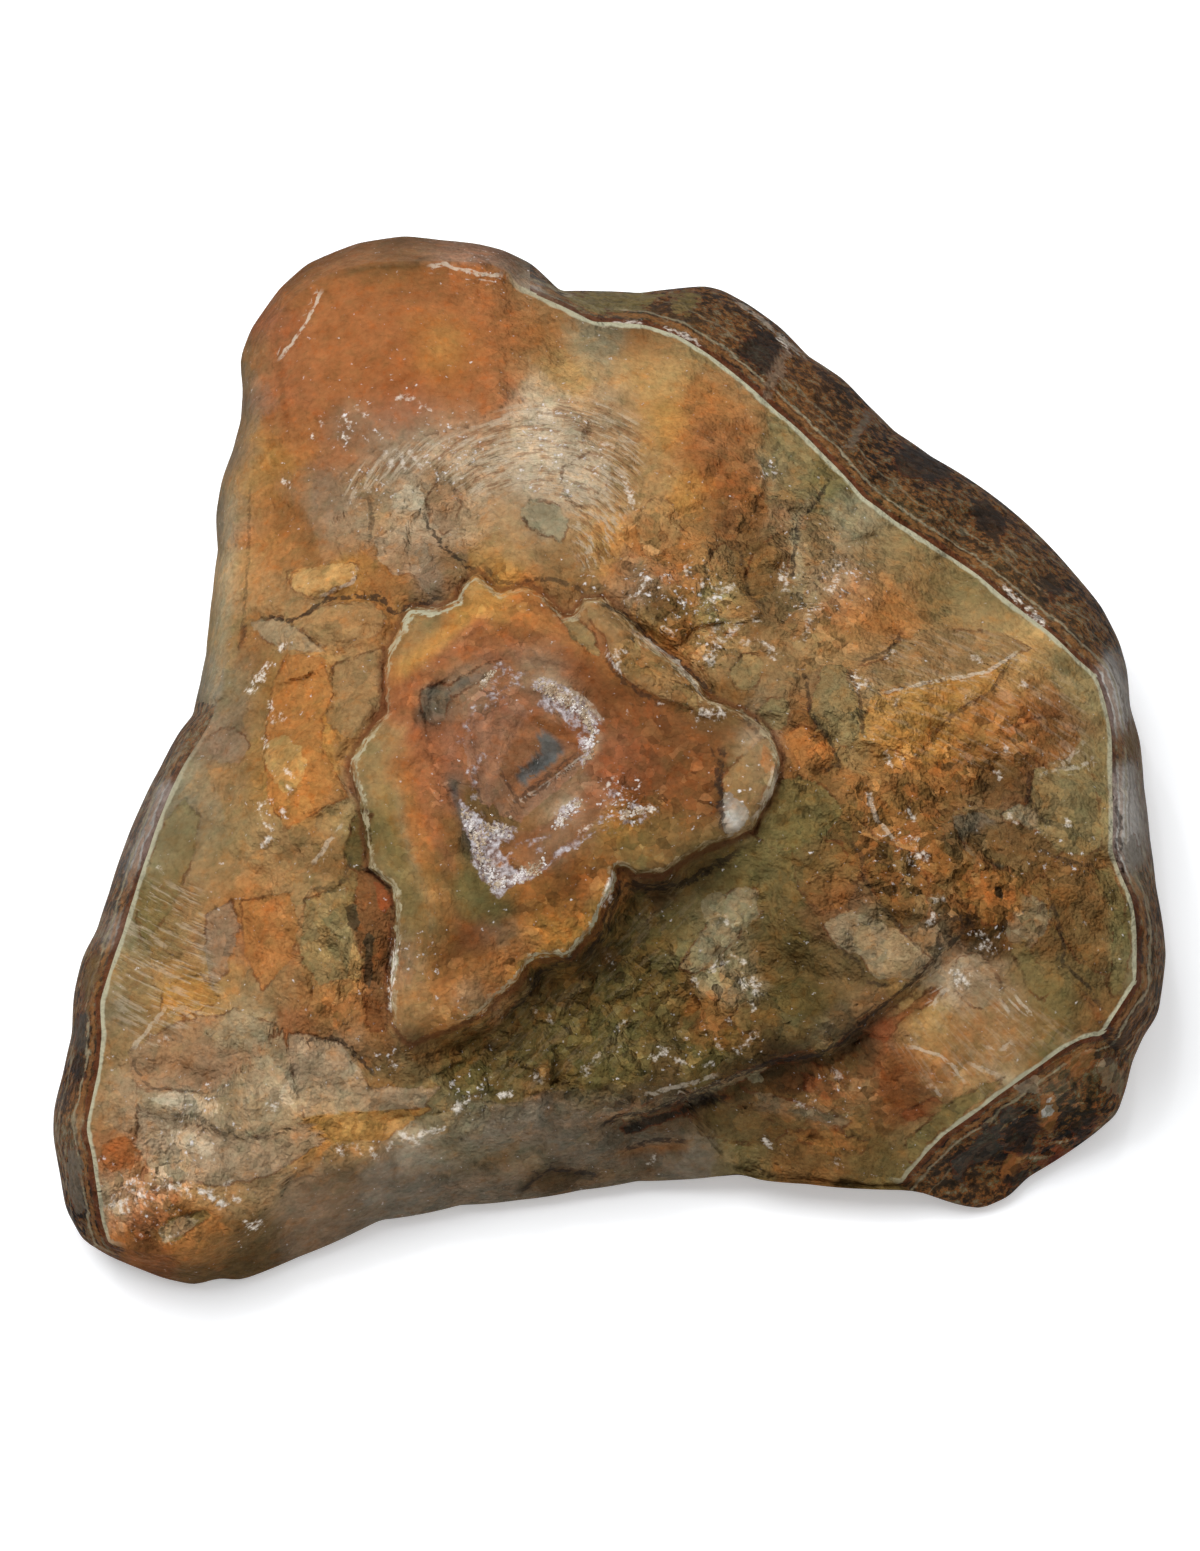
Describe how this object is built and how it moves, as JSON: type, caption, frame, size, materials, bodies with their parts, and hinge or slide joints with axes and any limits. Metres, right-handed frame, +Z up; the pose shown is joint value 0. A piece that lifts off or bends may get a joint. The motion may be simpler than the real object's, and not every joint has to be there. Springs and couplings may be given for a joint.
{
  "type": "raw carnelian stone",
  "caption": "Broken piece of a banded agate nodule, with a layered plate and a crystal pit on its broken face, lying on its flat side.",
  "frame": {"origin": "on the ground under the middle of the stone's bounding box", "axes": "+Z up out of the flat side it lies on, -Y towards the steep broken front, +X to the viewer's right"},
  "size_m": [0.1578, 0.1655, 0.0534],
  "materials": {
    "carnelian": "wet-looking gloss over mottled orange, brown and olive chalcedony, with a pale band and a dark rind"
  },
  "bodies": {
    "root": {"carnelian_stone": "carnelian"}
  },
  "joints": []
}
